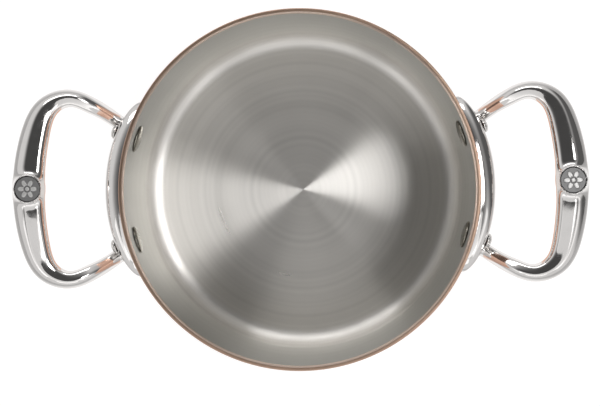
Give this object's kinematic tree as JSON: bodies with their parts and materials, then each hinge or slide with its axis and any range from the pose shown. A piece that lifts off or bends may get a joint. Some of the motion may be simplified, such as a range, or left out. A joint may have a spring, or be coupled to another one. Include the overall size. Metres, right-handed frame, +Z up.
{
  "type": "two-handled saucepan",
  "caption": "Open round copper cooking pan with a brushed steel lining, and a riveted cast loop handle on either side.",
  "frame": {"origin": "centre of the pan's underside, on the surface that it stands on", "axes": "+Z up along the pan's axis, +X to the right handle, whose middle lies 1.1 degrees behind it, +Y to the back"},
  "size_m": [0.2646, 0.165, 0.09],
  "materials": {
    "copper": "polished",
    "lining": "satin",
    "handle": "polished",
    "medallion": "satin",
    "rivet": "gloss"
  },
  "bodies": {
    "root": {"copper_shell": "copper", "steel_lining": "lining", "right_handle": "handle", "left_handle": "handle", "right_medallion": "medallion", "left_medallion": "medallion", "right_back_rivet": "rivet", "right_front_rivet": "rivet", "left_back_rivet": "rivet", "left_front_rivet": "rivet"}
  },
  "joints": []
}
